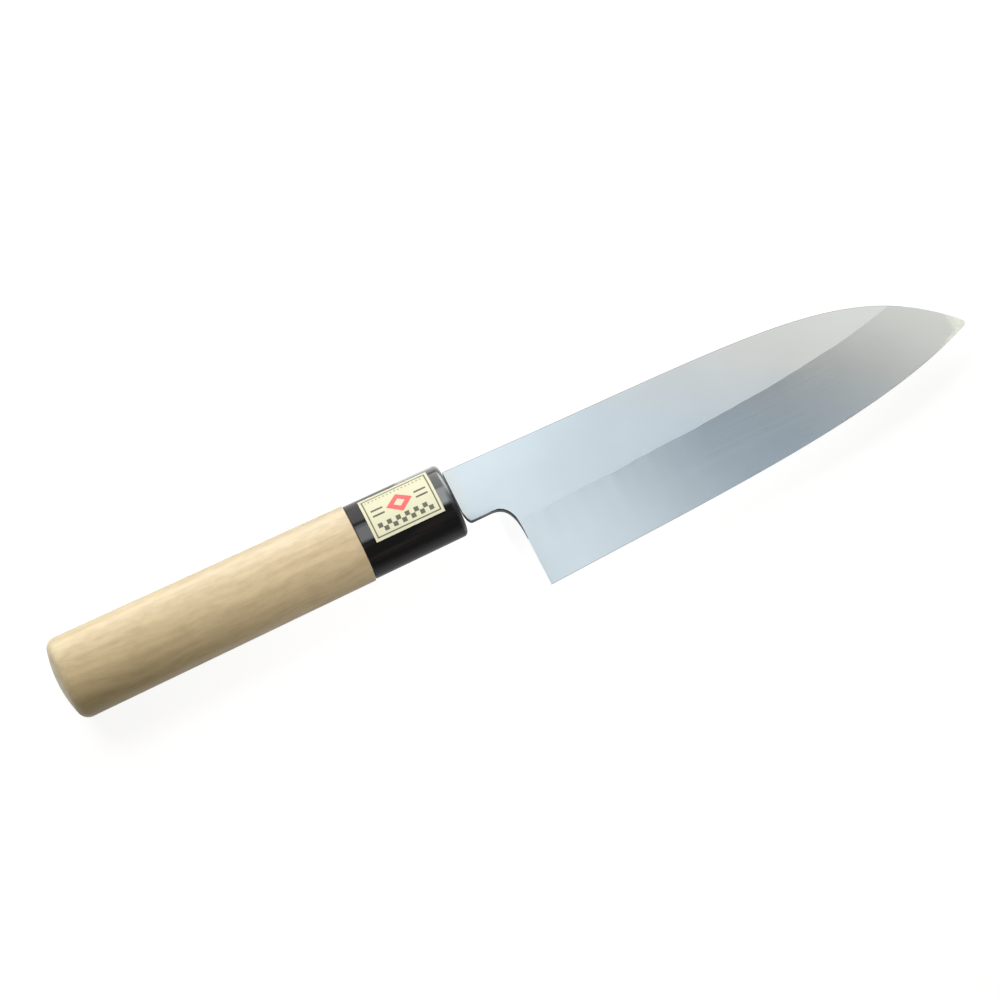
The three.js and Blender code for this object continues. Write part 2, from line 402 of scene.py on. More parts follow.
def section(x, low=None, rise=0):
    """Ring round the blade at a length, from the edge up its right side and down its left side.

    low is where the neck or the hollow behind the heel cuts it off, rise the height of the round there."""
    edge_height, spine_height = blade_heights(x)
    height = spine_height - edge_height
    corner = min(SPINE_ROUND, ROUND_OF_HALF * half_thickness(x, height), ROUND_OF_HEIGHT * height)
    crease = min(bevel_top(x), height - corner - LEAST_FLAT)
    if height < BEVEL_HEIGHT:
        crease = min(crease, height * lerp(1, LINE_SHARE_AT_TIP, smooth(x, LINE_DROPS_FROM, BLADE_LENGTH)))
    soft = lerp(LINE_SOFT_AT_HEEL, LINE_SOFT_AT_TIP, smooth(x, HEEL_SETBACK, LINE_CRISP_FROM))
    soft = min(soft, SOFT_OF_BEVEL * crease, SOFT_OF_FLAT * (height - corner - crease))
    split = SPLIT_SHARE * min(BEVEL_HEIGHT, height)
    if low is None:
        right = edge_points(x, edge_height, split)
    else:
        right = under_points(low, rise, x, edge_height)
        split = low + rise - edge_height
    ups = steps(split, crease - soft, BEVEL_COLUMNS)[1:]
    ups.append(crease)
    ups += steps(crease + soft, height - corner, FLAT_COLUMNS)
    ups = [max(up, split) for up in ups]
    right += [(edge_height + up, half_thickness(x, up)) for up in ups]
    top_half = half_thickness(x, height)
    for along, inset in round_steps(corner)[1:]:
        right.append((edge_height + height - corner + along, top_half - inset))
    right.append((edge_height + height, 0.0))
    left = [(y, -z) for y, z in right[-2:0:-1]]
    return [Vector((x, y, z)) for y, z in right + left]


def neck_outline():
    """Underside of the neck and of the hollow behind the heel: lengths, heights and rises of the round."""
    rear = Vector((NECK_GAP, -NECK_DEPTH + NECK_CORNER.y))
    corner = Vector((NECK_GAP + NECK_CORNER.x, -NECK_DEPTH))
    neck_end = Vector((HEEL_SETBACK - CHOIL_WIDTH, -NECK_DEPTH))
    heel = Vector((HEEL_SETBACK, -NECK_DEPTH - CHOIL_DROP))
    points = curve(rear, NECK_PULL_AT_REAR, NECK_PULL_AT_CORNER, corner, NECK_POINTS)
    points += curve(neck_end, CHOIL_PULL_AT_NECK, CHOIL_PULL_AT_HEEL, heel, CHOIL_POINTS)
    outline = []
    for i, point in enumerate(points):
        run = points[min(i + 1, len(points) - 1)] - points[max(i - 1, 0)]
        level = max(run.x / run.length, LEAST_LEVEL)
        outline.append((point.x, point.y, under_round(point.x) / level))
    return outline


def tang_ring(section_ring, x, size):
    """The neck's own ring drawn in to the tang's rectangle."""
    half_y, half_z = size / 2
    return [
        Vector((x, min(max(point.y, -half_y), half_y), min(max(point.z, -half_z), half_z)))
        for point in section_ring
    ]


def build_blade():
    neck = neck_outline()
    rear_ring = section(*neck[0])
    rings = [tang_ring(rear_ring, -TANG_LENGTH, TANG_END), tang_ring(rear_ring, NECK_GAP, TANG_ROOT)]
    tang_rings = len(rings)
    rings += [section(*cut) for cut in neck]
    dark_rings = len(rings)
    stations = steps(HEEL_SETBACK, TIP_FROM, BLADE_STEPS)
    for angle in steps(0, math.pi / 2, TIP_STEPS)[1:]:
        stations.append(lerp(TIP_FROM, BLADE_LENGTH, math.sin(angle)))
    rings += [section(x) for x in stations]
    lengths = [ring[0].x for ring in rings]
    sides = len(rings[0])
    crease_column = LOW_COLUMNS + BEVEL_COLUMNS + 1
    spine_column = crease_column + FLAT_COLUMNS + 1

    def paint(i, j):
        column = min(j, sides - 1 - j)
        x = lengths[i]
        # The dark slot paints shade on the neck's underside and in the hollow behind the heel, and gives
        # the spine and the tang their dark steel.
        dark_columns = 0
        if i < dark_rings - 1:
            dark_columns = round(lerp(1, LOW_COLUMNS, smooth(x, *DARK_CLIMB)))
        if i < tang_rings or column < dark_columns or (column >= spine_column and x < TIP_FROM):
            return DARK_SLOT
        on_flat = column >= crease_column and spine.height(x) - edge.height(x) > BEVEL_HEIGHT
        return FLAT_SLOT if on_flat else BEVEL_SLOT

    return skin(BLADE, rings, paint=paint, sharp_angle=BLADE_SHARP_ANGLE, hard_slot=DARK_SLOT)


# Handle, ferrule, plug and label


def ferrule_half(x):
    """Half the ferrule's height and thickness: it narrows a little towards its front."""
    narrower = FERRULE_TAPER / 2 * (x - FERRULE_REAR_X) / -FERRULE_REAR_X
    return FERRULE_REAR_HEIGHT / 2 - narrower, FERRULE_REAR_THICKNESS / 2 - narrower


def spigot_radius():
    return SEAL_RADIUS + GLUE_GAP + SPIGOT_WALL


def tang_hole(size):
    """Half the height and thickness of the hole round a section of the tang."""
    return size / 2 + Vector((GLUE_GAP, GLUE_GAP))


def build_ferrule():
    def outside(x, inset):
        height, thickness = ferrule_half(x)
        return oval(x, height - inset, thickness - inset)

    start = FERRULE_REAR_X + FERRULE_REAR_ROUND
    end = -FERRULE_FRONT_ROUND
    rear = [outside(start - along, inset) for along, inset in reversed(round_steps(FERRULE_REAR_ROUND))]
    body = [outside(x, 0) for x in steps(start + SUPPORT, end - SUPPORT, FERRULE_STEPS)]
    front = [outside(end + along, inset) for along, inset in round_steps(FERRULE_FRONT_ROUND)]
    bore = spigot_radius() + GLUE_GAP
    hole = [circle(0, bore), circle(FERRULE_REAR_X, bore)]
    return skin(RING, rear + body + front + hole, looped=True)


def build_handle():
    joint_x = FERRULE_REAR_X - GLUE_GAP
    joint_half = [half + WOOD_STEP for half in ferrule_half(FERRULE_REAR_X)]
    widest_half = [BUTT_HEIGHT / 2, BUTT_THICKNESS / 2]
    rounding = round_steps(BUTT_ROUND, BUTT_ROUND_TURN)
    reach, cut = rounding[-1]
    rim_x = BUTT_X + BUTT_DOME
    widest_x = rim_x + reach

    def grip(x, inset=0, scale=1):
        share = (x - widest_x) / (joint_x - widest_x)
        halves = [lerp(widest, joint, share) for widest, joint in zip(widest_half, joint_half)]
        return oval(x, *[(half - inset) * scale for half in halves])

    shares = [(i + BUTT_CENTRE) / BUTT_STEPS for i in range(BUTT_STEPS)]
    end_rings = [grip(lerp(BUTT_X, rim_x, share ** 2), cut, share) for share in shares]
    end_rings += [grip(widest_x - along, inset) for along, inset in reversed(rounding)]
    for point in (point for ring in end_rings for point in ring):
        point.x -= math.tan(BUTT_LEAN) * point.y
    start = widest_x + SIDE_SETBACK
    end = joint_x - JOINT_ROUND
    side = [grip(x) for x in steps(start, end - SUPPORT, GRIP_STEPS)]
    shoulder = [grip(end + along, inset) for along, inset in round_steps(JOINT_ROUND)]
    spigot = [circle(joint_x, spigot_radius()), circle(SPIGOT_X, spigot_radius())]
    seat_radius = SEAL_RADIUS + GLUE_GAP
    seat_x = seal_low.x - GLUE_GAP
    seat = [circle(SPIGOT_X, seat_radius), circle(seat_x, seat_radius)]
    slot_end = -TANG_LENGTH - GLUE_GAP
    slot = [slot_ring(seat_x, *tang_hole(TANG_ROOT)), slot_ring(slot_end, *tang_hole(TANG_END))]
    return skin(GRIP, end_rings + side + shoulder + spigot + seat + slot)


def build_seal():
    hole = tang_hole(TANG_ROOT)
    dish_x = seal_high.x - SEAL_DISH
    front = [circle(seal_high.x, SEAL_RADIUS), circle(dish_x, SEAL_DISH_SHARE * SEAL_RADIUS)]
    inside = [slot_ring(dish_x, *hole), slot_ring(seal_low.x, *hole)]
    return skin("tang_plug", [circle(seal_low.x, SEAL_RADIUS)] + front + inside, looped=True)


def build_label():
    """The label, and across its middle the points of its underside and their distances along the sheet."""
    start, end = label_low.x, label_high.x

    def on_ferrule(x, angle, lift):
        height, thickness = ferrule_half(x)
        return oval_point(x, height + lift, thickness + lift, angle)

    angles = steps(*LABEL_ANGLES, LABEL_STEPS_ROUND)
    lengths = steps(start, end, LABEL_STEPS_ALONG)
    rings = []
    for angle in angles:
        under = [on_ferrule(x, angle, LABEL_LIFT) for x in lengths]
        over = [on_ferrule(x, angle, LABEL_LIFT + LABEL_THICKNESS) for x in reversed(lengths)]
        rings.append(under + over)
    label = skin("paper_label", rings)
    middle = [on_ferrule((start + end) / 2, angle, LABEL_LIFT) for angle in angles]
    arcs = [0.0]
    for a, b in zip(middle, middle[1:]):
        arcs.append(arcs[-1] + (b - a).length)
    return label, middle, arcs


def map_label(label, middle, arcs):
    """Print coordinates of the label in millimetres: along the knife, and down from its upper edge."""
    layer = label.data.uv_layers.new(name="print")
    heights = [-point.y for point in middle]
    for loop in label.data.loops:
        point = (label.data.vertices[loop.vertex_index].co - ZERO) / MM
        after = min(max(bisect.bisect(heights, -point.y), 1), len(heights) - 1)
        share = (-point.y - heights[after - 1]) / (heights[after] - heights[after - 1])
        layer.data[loop.index].uv = (point.x - label_low.x, lerp(arcs[after - 1], arcs[after], share))


# Materials

EVEN = (1, 1, 1)

# Values between which most of a noise lies
NOISE_RANGE = (0.3, 0.7)


class Finish:
    """Node tree of one material, with short calls for the nodes used here."""

    def __init__(self, name, **constants):
        self.material = bpy.data.materials.new(name)
        self.material.use_nodes = True
        self.tree = self.material.node_tree
        self.shader = self.tree.nodes["Principled BSDF"]
        for socket, value in constants.items():
            self.shader.inputs[socket.replace("_", " ")].default_value = value

    def node(self, kind, inputs, **settings):
        made = self.tree.nodes.new("ShaderNode" + kind)
        for setting, value in settings.items():
            setattr(made, setting, value)
        for socket, value in inputs.items():
            self.feed(made.inputs[socket], value)
        return made

    def feed(self, socket, value):
        if isinstance(value, bpy.types.NodeSocket):
            self.tree.links.new(value, socket)
        else:
            socket.default_value = value

    def surface(self, **inputs):
        for socket, value in inputs.items():
            self.feed(self.shader.inputs[socket.replace("_", " ")], value)
        return self.material

    def math(self, operation, *values):
        return self.node("Math", dict(enumerate(values)), operation=operation).outputs[0]

    def coordinates(self, scale=EVEN, source=None):
        """The frame's coordinates, or others that are given, scaled along each axis."""
        source = source or self.node("TexCoord", {}).outputs["Object"]
        return self.node("Mapping", {"Vector": source, "Scale": scale}).outputs[0]

    def axes(self):
        """The frame's x and y."""
        spot = self.node("SeparateXYZ", {0: self.coordinates()})
        return spot.outputs[0], spot.outputs[1]

    def noise(self, vector, scale, detail, roughness):
        inputs = {"Vector": vector, "Scale": scale, "Detail": detail, "Roughness": roughness}
        return self.node("TexNoise", inputs).outputs["Fac"]

    def speckle(self, scale, detail=3.0, roughness=0.5):
        """Noise that is alike along all axes."""
        return self.noise(self.coordinates(), scale, detail, roughness)

    def grain(self, scales, detail, roughness=0.5, source=None):
        """Noise with a scale of its own along each axis."""
        return self.noise(self.coordinates(scales, source), 1.0, detail, roughness)

    def ranged(self, value, between, to=(0.0, 1.0)):
        """Value carried over from one range to another and kept inside it."""
        inputs = {"Value": value, "From Min": between[0], "From Max": between[1]}
        return self.node("MapRange", {**inputs, "To Min": to[0], "To Max": to[1]}).outputs[0]

    def mix(self, share, first, second, blend="MIX"):
        made = self.node("Mix", {0: share, 6: first, 7: second}, data_type="RGBA", blend_type=blend)
        return made.outputs[2]

    def bump(self, height, relief):
        """Bumps of a relief's strength and depth in metres."""
        inputs = {"Height": height, "Strength": relief[0], "Distance": relief[1]}
        return self.node("Bump", inputs).outputs[0]


def at_lengths(lengths):
    """The frame's x for lengths of the drawing."""
    return [place(length, 0, 0).x for length in lengths]


def at_heights(heights):
    """The frame's y for heights of the drawing."""
    return [place(0, height, 0).y for height in heights]


# Steel: tones, with a painted reflection that turns from cool to warm along the blade, roughness and the
# scales of its noises
STEEL_WITH_COOL_REFLECTION = (0.685, 0.78, 0.835, 1)
FLAT_WITH_WARM_REFLECTION = (0.755, 0.765, 0.735, 1)
BEVEL_WITH_WARM_REFLECTION = (0.705, 0.71, 0.672, 1)
NECK_PAINTED_REFLECTION = (0.705, 0.768, 0.788, 1)
# The tip's pale tones are partly its polished finish and partly a painted highlight.
PALE_POLISH_AND_HIGHLIGHT = (0.80, 0.83, 0.68, 1)
BRIGHT_POLISH_AND_HIGHLIGHT = (0.91, 0.92, 0.86, 1)
FLAT_ROUGHNESS = 0.33
BEVEL_ROUGHNESS = 0.25
GRAIN_ROUGHNESS = 0.008
POLISH_ROUGHNESS = 0.1
STEEL_GRAIN = (18, 1500, 150)
STEEL_CLOUDS = 45.0
STEEL_PATCHES = 700.0
CLOUD_SHADES = (0.975, 1.025)
PATCH_RANGE = (0.35, 0.65)
STEEL_GRAIN_RANGE = (0.25, 0.75)

# Lengths between which the painted reflection turns from cool to warm, and the length of the paler band by
# the ferrule, also a painted reflection.
# Both borders slant with the height.
REFLECTION_DRIFT_BETWEEN = (55, 105)
REFLECTION_DRIFT_SLANT = 1.5
NECK_BAND = 3.45
NECK_BAND_SLANT = -0.2
NECK_BAND_SOFT = 0.2

# The polished tip, paler partly from its finish and partly as a painted highlight: the strip's upper border
# where the tip's stretch begins, its slope and softness, the lengths between which the whole width turns
# pale, and how ragged these borders are
POLISH_HEIGHT = -24.6
POLISH_SLOPE = 0.55
POLISH_SOFT = (-0.5, 0.7)
POLISH_END = (159.9, 161.9)
POLISH_RAGGED = 1.8
RAGGED_SCALE = 800.0


def tip_polish_and_highlight(finish, x, y):
    """Share of the tip's polished zone, which is partly a painted highlight: all of its end, and behind
    that a strip along the edge.
    """
    noise = finish.speckle(RAGGED_SCALE)
    ragged = finish.math("MULTIPLY", finish.math("SUBTRACT", noise, 0.5), POLISH_RAGGED * MM)
    past = finish.math("SUBTRACT", x, place(TIP_FROM, 0, 0).x)
    border = finish.math("MULTIPLY_ADD", past, POLISH_SLOPE, place(0, POLISH_HEIGHT, 0).y)
    depth = finish.math("SUBTRACT", finish.math("ADD", border, ragged), y)
    strip = finish.ranged(depth, [soft * MM for soft in POLISH_SOFT])
    end = finish.ranged(finish.math("ADD", x, ragged), at_lengths(POLISH_END))
    return finish.math("MAXIMUM", strip, end)


def steel(name, warm, roughness):
    """Ground steel with a fine grain along the blade. Its tone is a painted reflection, cool by the heel
    and warmer at the tip, with a paler painted reflection by the ferrule; the tip is polished, and paler
    partly as a painted highlight.
    """
    finish = Finish(name, Metallic=1.0)
    x, y = finish.axes()
    # Painted reflection: the steel's tone turns from cool by the heel to warm towards the tip.
    slanted = finish.math("MULTIPLY_ADD", y, REFLECTION_DRIFT_SLANT, x)
    reflection_drift = finish.ranged(slanted, [start + REFLECTION_DRIFT_SLANT * ZERO.y for start in at_lengths(REFLECTION_DRIFT_BETWEEN)])
    tone = finish.mix(reflection_drift, STEEL_WITH_COOL_REFLECTION, warm)
    # Painted reflection: a paler band on the neck by the ferrule.
    band = finish.math("MULTIPLY_ADD", y, NECK_BAND_SLANT, x)
    band_end = place(NECK_BAND, 0, 0).x + NECK_BAND_SLANT * ZERO.y
    soft = NECK_BAND_SOFT * MM
    painted_reflection_by_ferrule = finish.ranged(band, (band_end - soft, band_end + soft), (1.0, 0.0))
    tone = finish.mix(painted_reflection_by_ferrule, tone, NECK_PAINTED_REFLECTION)
    patches = finish.speckle(STEEL_PATCHES)
    # Painted highlight, in part: the tip's paler tone stands partly for its polished finish and partly for
    # a highlight.
    pale = finish.mix(finish.ranged(patches, PATCH_RANGE), PALE_POLISH_AND_HIGHLIGHT, BRIGHT_POLISH_AND_HIGHLIGHT)
    polish_and_highlight = tip_polish_and_highlight(finish, x, y)
    tone = finish.mix(polish_and_highlight, tone, pale)
    shade = finish.ranged(finish.speckle(STEEL_CLOUDS, 2.0), NOISE_RANGE, CLOUD_SHADES)
    colour = finish.node("VectorMath", {0: tone, "Scale": shade}, operation="SCALE").outputs[0]
    grain = finish.grain(STEEL_GRAIN, 2.0)
    about = (roughness - GRAIN_ROUGHNESS, roughness + GRAIN_ROUGHNESS)
    rough = finish.ranged(grain, STEEL_GRAIN_RANGE, about)
    rough = finish.math("MULTIPLY_ADD", polish_and_highlight, POLISH_ROUGHNESS, rough)
    return finish.surface(Base_Color=colour, Roughness=rough)


SCALE_AND_SHADE_DARK = (0.02, 0.022, 0.027, 1)
SCALE_AND_SHADE_LIGHT = (0.065, 0.068, 0.074, 1)
FORGE_ROUGHNESS = (0.4, 0.55)
FORGE_RELIEF = (0.2, 5e-5)


def scale_and_painted_shade():
    """Dark unpolished steel of the spine and the tang, also used as painted shade on the neck's underside
    and in the hollow behind the heel.
    """
    finish = Finish("scale_and_painted_shade", Metallic=1.0)
    patches = finish.speckle(STEEL_PATCHES, 4.0)
    colour = finish.mix(patches, SCALE_AND_SHADE_DARK, SCALE_AND_SHADE_LIGHT)
    rough = finish.ranged(patches, NOISE_RANGE, FORGE_ROUGHNESS)
    return finish.surface(Base_Color=colour, Roughness=rough, Normal=finish.bump(patches, FORGE_RELIEF))


# Wood: tones, how its grain slants and wanders, and the scales, shares and ranges of its figure
WOOD_LIGHT = (0.513, 0.412, 0.239, 1)
WOOD_DARK = (0.41, 0.319, 0.18, 1)
WOOD_PORE = (0.304, 0.22, 0.121, 1)
WOOD_PALER = (1.0, 1.01, 1.13, 1)
WOOD_GLOSS = 0.4
WOOD_SHEEN = 0.3
WOOD_SHEEN_ROUGHNESS = 0.5
WOOD_ROUGHNESS = (0.42, 0.54)
WOOD_RELIEF = (0.25, 4e-5)
GRAIN_SLANT = 0.025
GRAIN_WANDER = 0.008
WANDER_SCALES = (22, 30, 30)
STREAK_SCALES = (14, 380, 380)
FLECK_SCALES = (210, 620, 620)
FIBRE_SCALES = (45, 1500, 1500)
PORE_SCALES = (260, 3800, 3800)
FLECK_SHARE = 0.8
FIBRE_SHARE = 0.4
PORE_SHARE = 0.3
FIGURE_RANGE = (0.85, 1.35)
PORE_RANGE = (0.64, 0.76)
FIBRE_RANGE = (0.2, 0.8)


def pale_wood():
    """Close-grained pale wood: wavy streaks, cloudy flecks between them, fibres and short pores."""
    sheen = {"Sheen_Weight": WOOD_SHEEN, "Sheen_Roughness": WOOD_SHEEN_ROUGHNESS}
    finish = Finish("pale_wood", Specular_IOR_Level=WOOD_GLOSS, **sheen)
    plain = finish.coordinates()
    along = finish.node("SeparateXYZ", {0: plain}).outputs[0]
    wander = finish.math("MULTIPLY", finish.grain(WANDER_SCALES, 2.0), GRAIN_WANDER)
    shift = finish.math("MULTIPLY_ADD", along, GRAIN_SLANT, wander)
    aside = finish.node("CombineXYZ", {1: shift, 2: shift}).outputs[0]
    bent = finish.node("VectorMath", {0: plain, 1: aside}, operation="ADD").outputs[0]
    streaks = finish.grain(STREAK_SCALES, 3.0, 0.55, bent)
    flecks = finish.grain(FLECK_SCALES, 3.0, 0.55, bent)
    fibres = finish.grain(FIBRE_SCALES, 4.0, 0.6, bent)
    pores = finish.grain(PORE_SCALES, 2.0, source=bent)
    figure = finish.math("MULTIPLY_ADD", flecks, FLECK_SHARE, streaks)
    figure = finish.math("MULTIPLY_ADD", fibres, FIBRE_SHARE, figure)
    colour = finish.mix(finish.ranged(figure, FIGURE_RANGE), WOOD_LIGHT, WOOD_DARK)
    specks = finish.ranged(pores, PORE_RANGE, (0.0, PORE_SHARE))
    colour = finish.mix(specks, colour, WOOD_PORE)
    paler = finish.ranged(along, at_lengths((BUTT_X, FERRULE_REAR_X)))
    colour = finish.mix(paler, colour, WOOD_PALER, "MULTIPLY")
    rough = finish.ranged(fibres, FIBRE_RANGE, WOOD_ROUGHNESS)
    relief = finish.math("SUBTRACT", fibres, specks)
    return finish.surface(Base_Color=colour, Roughness=rough, Normal=finish.bump(relief, WOOD_RELIEF))


HORN_BLACK = (0.004, 0.004, 0.005, 1)
HORN_BROWN = (0.016, 0.012, 0.01, 1)
HORN_GLOSS = 0.65
HORN_ROUGHNESS = (0.1, 0.16)
HORN_STREAKS = (30, 500, 500)
HORN_HAZE = 220.0
HORN_STREAK_RANGE = (0.5, 0.75)
HORN_RELIEF = (0.03, 2e-5)

# Front rim of the horn: where it begins, how much rougher it is, and the gloss it loses between two heights
RIM_FROM = (-1.6 * FERRULE_FRONT_ROUND, -0.8)
RIM_ROUGHER = 0.15
RIM_DULLER = 0.5
DULL_UPPER_END = (2, -1)
DULL_LOWER_END = (-9, -6)


def black_horn():
    """Polished black horn with faint brown streaks along its length, duller on its rounded front."""
    finish = Finish("black_horn")
    streaks = finish.grain(HORN_STREAKS, 4.0)
    colour = finish.mix(finish.ranged(streaks, HORN_STREAK_RANGE), HORN_BLACK, HORN_BROWN)
    rough = finish.ranged(finish.speckle(HORN_HAZE), NOISE_RANGE, HORN_ROUGHNESS)
    x, y = finish.axes()
    rim = finish.ranged(x, at_lengths(RIM_FROM))
    rough = finish.math("MULTIPLY_ADD", rim, RIM_ROUGHER, rough)
    dull = rim
    for heights in (DULL_UPPER_END, DULL_LOWER_END):
        dull = finish.math("MULTIPLY", dull, finish.ranged(y, at_heights(heights)))
    gloss = finish.math("MULTIPLY_ADD", dull, -RIM_DULLER, HORN_GLOSS)
    relief = finish.bump(streaks, HORN_RELIEF)
    return finish.surface(Base_Color=colour, Roughness=rough, Specular_IOR_Level=gloss, Normal=relief)


RESIN_DARK = (0.03, 0.017, 0.01, 1)
RESIN_LIGHT = (0.07, 0.04, 0.024, 1)
RESIN_ROUGHNESS = (0.35, 0.6)
RESIN_BLOTCHES = 900.0
RESIN_RELIEF = (0.3, 1e-4)


def cast_resin():
    """Dull brown resin with fine blotches."""
    finish = Finish("cast_resin")
    blotches = finish.speckle(RESIN_BLOTCHES, 4.0)
    colour = finish.mix(blotches, RESIN_DARK, RESIN_LIGHT)
    rough = finish.ranged(blotches, NOISE_RANGE, RESIN_ROUGHNESS)
    return finish.surface(Base_Color=colour, Roughness=rough, Normal=finish.bump(blotches, RESIN_RELIEF))


PAPER = (0.615, 0.615, 0.47, 1)
PAPER_FIBRE = (0.565, 0.555, 0.388, 1)
INK = (0.075, 0.08, 0.07, 1)
RED_INK = (0.82, 0.12, 0.13, 1)
PAPER_GLOSS = 0.08
PAPER_ROUGHNESS = (0.4, 0.55)
PAPER_FIBRES = 2600.0
FIBRE_TINT = 0.25
PAPER_RELIEF = (0.1, 2e-5)
DOT_STRENGTH = 0.6
RED_STRENGTH = 0.95
INK_STRENGTH = 0.9

# Print on the label in millimetres: frame, checked band, lozenge, the bars beside it and the dotted line.
# Heights run down from the sheet's upper edge, but the band's runs up from its lower edge.
FRAME_INSET = 1.0
FRAME_HALF = 0.2
CHECK = 1.45
CHECKS_HALF = 6
CHECKS_UP = 3.4
LOZENGE_DOWN = 6.6
LOZENGE_HALF_LENGTH = 4.2
LOZENGE_HALF_HEIGHT = 3.1
LOZENGE_HOLE = 0.42
BAR_ASIDE = 7.0
BAR_HALF_LENGTH = 1.9
BAR_HALF_HEIGHT = 0.3
BAR_OFF_MIDDLE = 0.9
DOT_PITCH = 0.6
DOT_HALF = 0.25
DOTS_DOWN = 2.1
DOTS_INSET = 1.8


def printed_paper(length, width):
    """Pale yellow paper with a thin frame, a red lozenge between bars, checks and a dotted line."""
    finish = Finish("printed_paper", Specular_IOR_Level=PAPER_GLOSS)
    spot = finish.node("SeparateXYZ", {0: finish.node("UVMap", {}, uv_map="print").outputs[0]})
    u, v = spot.outputs[0], spot.outputs[1]
    middle = length / 2

    def off(value, centre):
        return finish.math("ABSOLUTE", finish.math("SUBTRACT", value, centre))

    def within(value, centre, half):
        return finish.math("LESS_THAN", off(value, centre), half)

    def both(a, b):
        return finish.math("MULTIPLY", a, b)

    def either(a, b):
        return finish.math("MAXIMUM", a, b)

    inset_u = finish.math("SUBTRACT", middle, off(u, middle))
    inset_v = finish.math("SUBTRACT", width / 2, off(v, width / 2))
    dark = within(finish.math("MINIMUM", inset_u, inset_v), FRAME_INSET, FRAME_HALF)

    band_v = width - CHECKS_UP
    across = finish.math("SUBTRACT", u, middle)
    down = finish.math("SUBTRACT", v, band_v)
    board = finish.node("CombineXYZ", {0: across, 1: down, 2: CHECK / 2}).outputs[0]
    checks = finish.node("TexChecker", {"Vector": board, "Scale": 1 / CHECK}).outputs[1]
    band = both(within(u, middle, CHECKS_HALF * CHECK), within(v, band_v, CHECK))
    dark = either(dark, both(band, checks))

    reach_u = finish.math("DIVIDE", off(u, middle), LOZENGE_HALF_LENGTH)
    reach_v = finish.math("DIVIDE", off(v, LOZENGE_DOWN), LOZENGE_HALF_HEIGHT)
    reach = finish.math("ADD", reach_u, reach_v)
    red = both(finish.math("LESS_THAN", reach, 1.0), finish.math("GREATER_THAN", reach, LOZENGE_HOLE))
    beside = within(off(u, middle), BAR_ASIDE, BAR_HALF_LENGTH)
    for bar_v in (LOZENGE_DOWN - BAR_OFF_MIDDLE, LOZENGE_DOWN + BAR_OFF_MIDDLE):
        dark = either(dark, both(beside, within(v, bar_v, BAR_HALF_HEIGHT)))

    dot_u = finish.math("PINGPONG", u, DOT_PITCH)
    dots = both(within(dot_u, DOT_PITCH, DOT_HALF), within(v, DOTS_DOWN, DOT_HALF))
    dots = both(dots, within(u, middle, middle - DOTS_INSET))

    fibres = finish.speckle(PAPER_FIBRES, 4.0, 0.6)
    colour = finish.mix(finish.ranged(fibres, NOISE_RANGE, (0.0, FIBRE_TINT)), PAPER, PAPER_FIBRE)
    prints = ((dots, DOT_STRENGTH, INK), (red, RED_STRENGTH, RED_INK), (dark, INK_STRENGTH, INK))
    for mask, strength, ink in prints:
        colour = finish.mix(finish.math("MULTIPLY", mask, strength), colour, ink)
    rough = finish.ranged(fibres, NOISE_RANGE, PAPER_ROUGHNESS)
    return finish.surface(Base_Color=colour, Roughness=rough, Normal=finish.bump(fibres, PAPER_RELIEF))


# Camera, world and floor

CAMERA_LENS = 85
CAMERA_SENSOR = 36
CAMERA_TURN = math.radians(26.07)
CAMERA_TILT = math.radians(16.2)
CAMERA_LEAN = math.radians(-1.6)
CAMERA_DISTANCE = 0.706
CAMERA_AIM = place(12.72, -6.43, 0)


def knife_axes_seen():
    """The frame's axes as the camera sees them: x to the right, y up, z towards the camera."""
    z = Vector((
        math.sin(CAMERA_TILT) * math.sin(CAMERA_LEAN),
        math.sin(CAMERA_TILT) * math.cos(CAMERA_LEAN),
        math.cos(CAMERA_TILT),
    ))
    level = Vector((0, 1, 0)).cross(z).normalized()
    x = level * math.cos(CAMERA_TURN) + z.cross(level) * math.sin(CAMERA_TURN)
    return Matrix((x, z.cross(x), z))


def build_camera():
    data = bpy.data.cameras.new("camera")
    data.lens = CAMERA_LENS
    data.sensor_width = CAMERA_SENSOR
    camera = bpy.data.objects.new("camera", data)
    turn = knife_axes_seen()
    back = turn @ Vector((0, 0, 1))
    camera.matrix_world = Matrix.Translation(CAMERA_AIM + back * CAMERA_DISTANCE) @ turn.to_4x4()
    bpy.context.scene.collection.objects.link(camera)
    bpy.context.scene.camera = camera


def seen_directly(tree):
    """1 for rays from the camera and for mirrored or transmitted rays, else 0."""
    path = tree.nodes.new("ShaderNodeLightPath")
    value = path.outputs["Is Camera Ray"]
    for name in ("Is Glossy Ray", "Is Transmission Ray"):
        either = tree.nodes.new("ShaderNodeMath")
        either.operation = "MAXIMUM"
        tree.links.new(value, either.inputs[0])
        tree.links.new(path.outputs[name], either.inputs[1])
        value = either.outputs[0]
    return value


WORLD_SEEN = (1, 1, 1, 1)
WORLD_FILL = (0.15, 0.132, 0.08, 1)
FLOOR_SIZE = 8
FLOOR_DROP = 0.3
FLOOR_COLOUR = (0.2, 0.2, 0.2, 1)
FLOOR_GLOW = 0.88


def build_world():
    """White where it is seen, and a faint warm fill for dull surfaces."""
    world = bpy.data.worlds.new("studio")
    bpy.context.scene.world = world
    world.use_nodes = True
    tree = world.node_tree
    background = tree.nodes["Background"]
    colour = tree.nodes.new("ShaderNodeMix")
    colour.data_type = "RGBA"
    tree.links.new(seen_directly(tree), colour.inputs["Factor"])
    colour.inputs[6].default_value = WORLD_FILL
    colour.inputs[7].default_value = WORLD_SEEN
    tree.links.new(colour.outputs[2], background.inputs["Color"])


